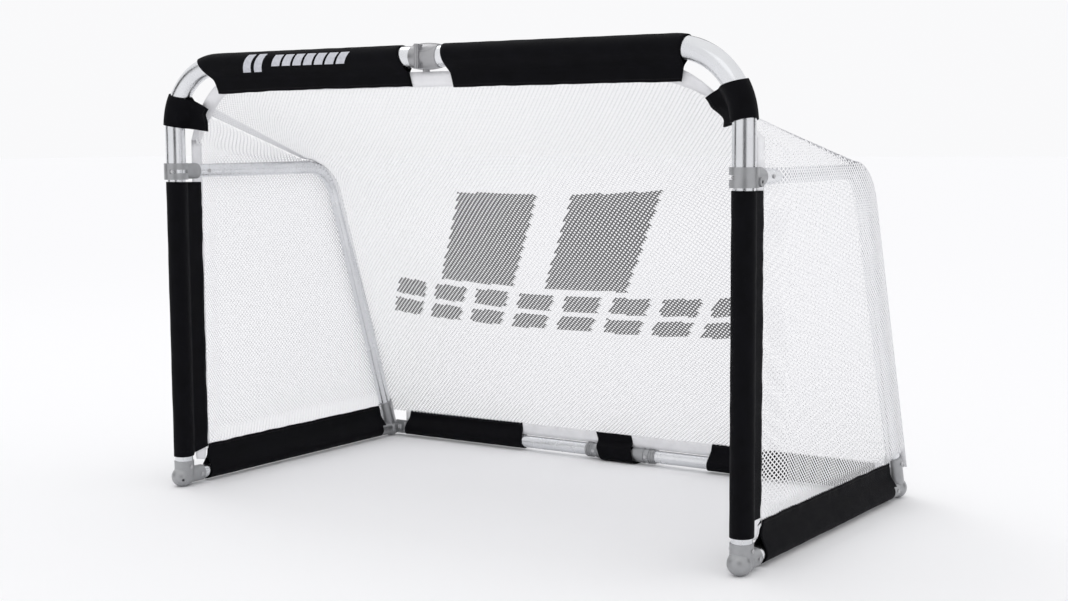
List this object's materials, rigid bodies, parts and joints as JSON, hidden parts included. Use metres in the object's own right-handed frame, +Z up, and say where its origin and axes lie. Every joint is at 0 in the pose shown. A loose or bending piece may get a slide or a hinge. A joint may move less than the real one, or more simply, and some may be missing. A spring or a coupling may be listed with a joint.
{
  "type": "folding football goal",
  "caption": "Small free-standing football goal: a folding aluminium tube frame with moulded joints, black fabric sleeves and a white mesh net.",
  "frame": {"origin": "on the ground, at the middle of the overall width and depth", "axes": "+X along the crossbar, +Y from the goal mouth to the rear bar, +Z up"},
  "size_m": [1.212, 0.6891, 0.804],
  "materials": {
    "tube": "satin",
    "moulding": "matte",
    "casting": "satin",
    "steel": "satin",
    "sleeve_fabric": "woven polyester, slight sheen",
    "webbing": "woven",
    "net": "fine knitted mesh"
  },
  "bodies": {
    "left_side": {"left_post_tube": "tube", "left_foot": "moulding", "left_base_tube": "tube", "left_arm_tube": "tube", "left_collar": "moulding", "left_frame_rivets": "steel", "left_rear_corner": "moulding", "left_rear_corner_pin": "steel", "left_post_sleeve": "sleeve_fabric", "left_base_sleeve": "sleeve_fabric", "left_foot_tab": "webbing", "left_side_net": "net", "main_net": "net"},
    "left_top": {"left_top_tube": "tube", "left_stop_pin": "steel", "left_hinge_rivet": "steel", "left_hinge_casting": "casting", "left_crossbar_sleeve": "sleeve_fabric", "left_corner_band": "sleeve_fabric", "hinge_pin": "steel"},
    "right_top": {"right_top_tube": "tube", "right_stop_pin": "steel", "right_hinge_rivet": "steel", "right_hinge_casting": "casting", "right_crossbar_sleeve": "sleeve_fabric", "right_corner_band": "sleeve_fabric", "button_spring": "steel"},
    "button": {"release_button": "casting"},
    "right_side": {"right_post_tube": "tube", "right_foot": "moulding", "right_base_tube": "tube", "right_arm_tube": "tube", "right_collar": "moulding", "right_frame_rivets": "steel", "right_rear_corner": "moulding", "right_rear_corner_pin": "steel", "right_post_sleeve": "sleeve_fabric", "right_base_sleeve": "sleeve_fabric", "right_foot_tab": "webbing", "right_side_net": "net"},
    "rear_left": {"left_rear_eye": "moulding", "left_rear_tube": "tube", "left_rear_socket": "moulding", "left_rear_rivets": "steel", "left_rear_sleeve": "sleeve_fabric", "rear_hinge_pin": "steel", "centre_wrap": "sleeve_fabric"},
    "rear_right": {"right_rear_eye": "moulding", "right_rear_tube": "tube", "right_rear_socket": "moulding", "right_rear_rivets": "steel", "right_rear_sleeve": "sleeve_fabric"}
  },
  "joints": [
    {"name": "left_post_swivel", "type": "hinge", "parent": "left_side", "child": "left_top", "pos_m": [-0.582, -0.318, 0.59], "axis": [0, 0, 1], "range_deg": [0, 86], "deforming": ["main_net"]},
    {"name": "crossbar_fold", "type": "hinge", "parent": "left_top", "child": "right_top", "pos_m": [0, -0.34, 0.782], "axis": [0, 0, 1], "range_deg": [-172.5, 0]},
    {"name": "right_post_swivel", "type": "hinge", "parent": "right_top", "child": "right_side", "pos_m": [0.582, -0.318, 0.59], "axis": [0, 0, 1], "range_deg": [0, 86.5]},
    {"name": "left_rear_swivel", "type": "hinge", "parent": "left_side", "child": "rear_left", "pos_m": [-0.55, 0.312, 0.0185], "axis": [0, 0, 1], "range_deg": [-89.85, 0]},
    {"name": "rear_fold", "type": "hinge", "parent": "rear_left", "child": "rear_right", "pos_m": [0, 0.337, 0.0185], "axis": [0, 0, 1], "range_deg": [0, 179.21], "deforming": ["centre_wrap"]},
    {"name": "release_press", "type": "slide", "parent": "right_top", "child": "button", "axis": [0, 0, 1], "range_m": [0, 0.0025], "stiffness_N_per_m": 300, "springref_m": -0.002, "deforming": ["button_spring"]}
  ],
  "couplings": [
    {"joint": "crossbar_fold", "follows": "left_post_swivel", "ratio": -2},
    {"joint": "right_post_swivel", "follows": "left_post_swivel", "ratio": 1},
    {"joint": "left_rear_swivel", "follows": "left_post_swivel", "ratio": -1.039},
    {"joint": "rear_fold", "follows": "left_post_swivel", "ratio": 2.078}
  ]
}
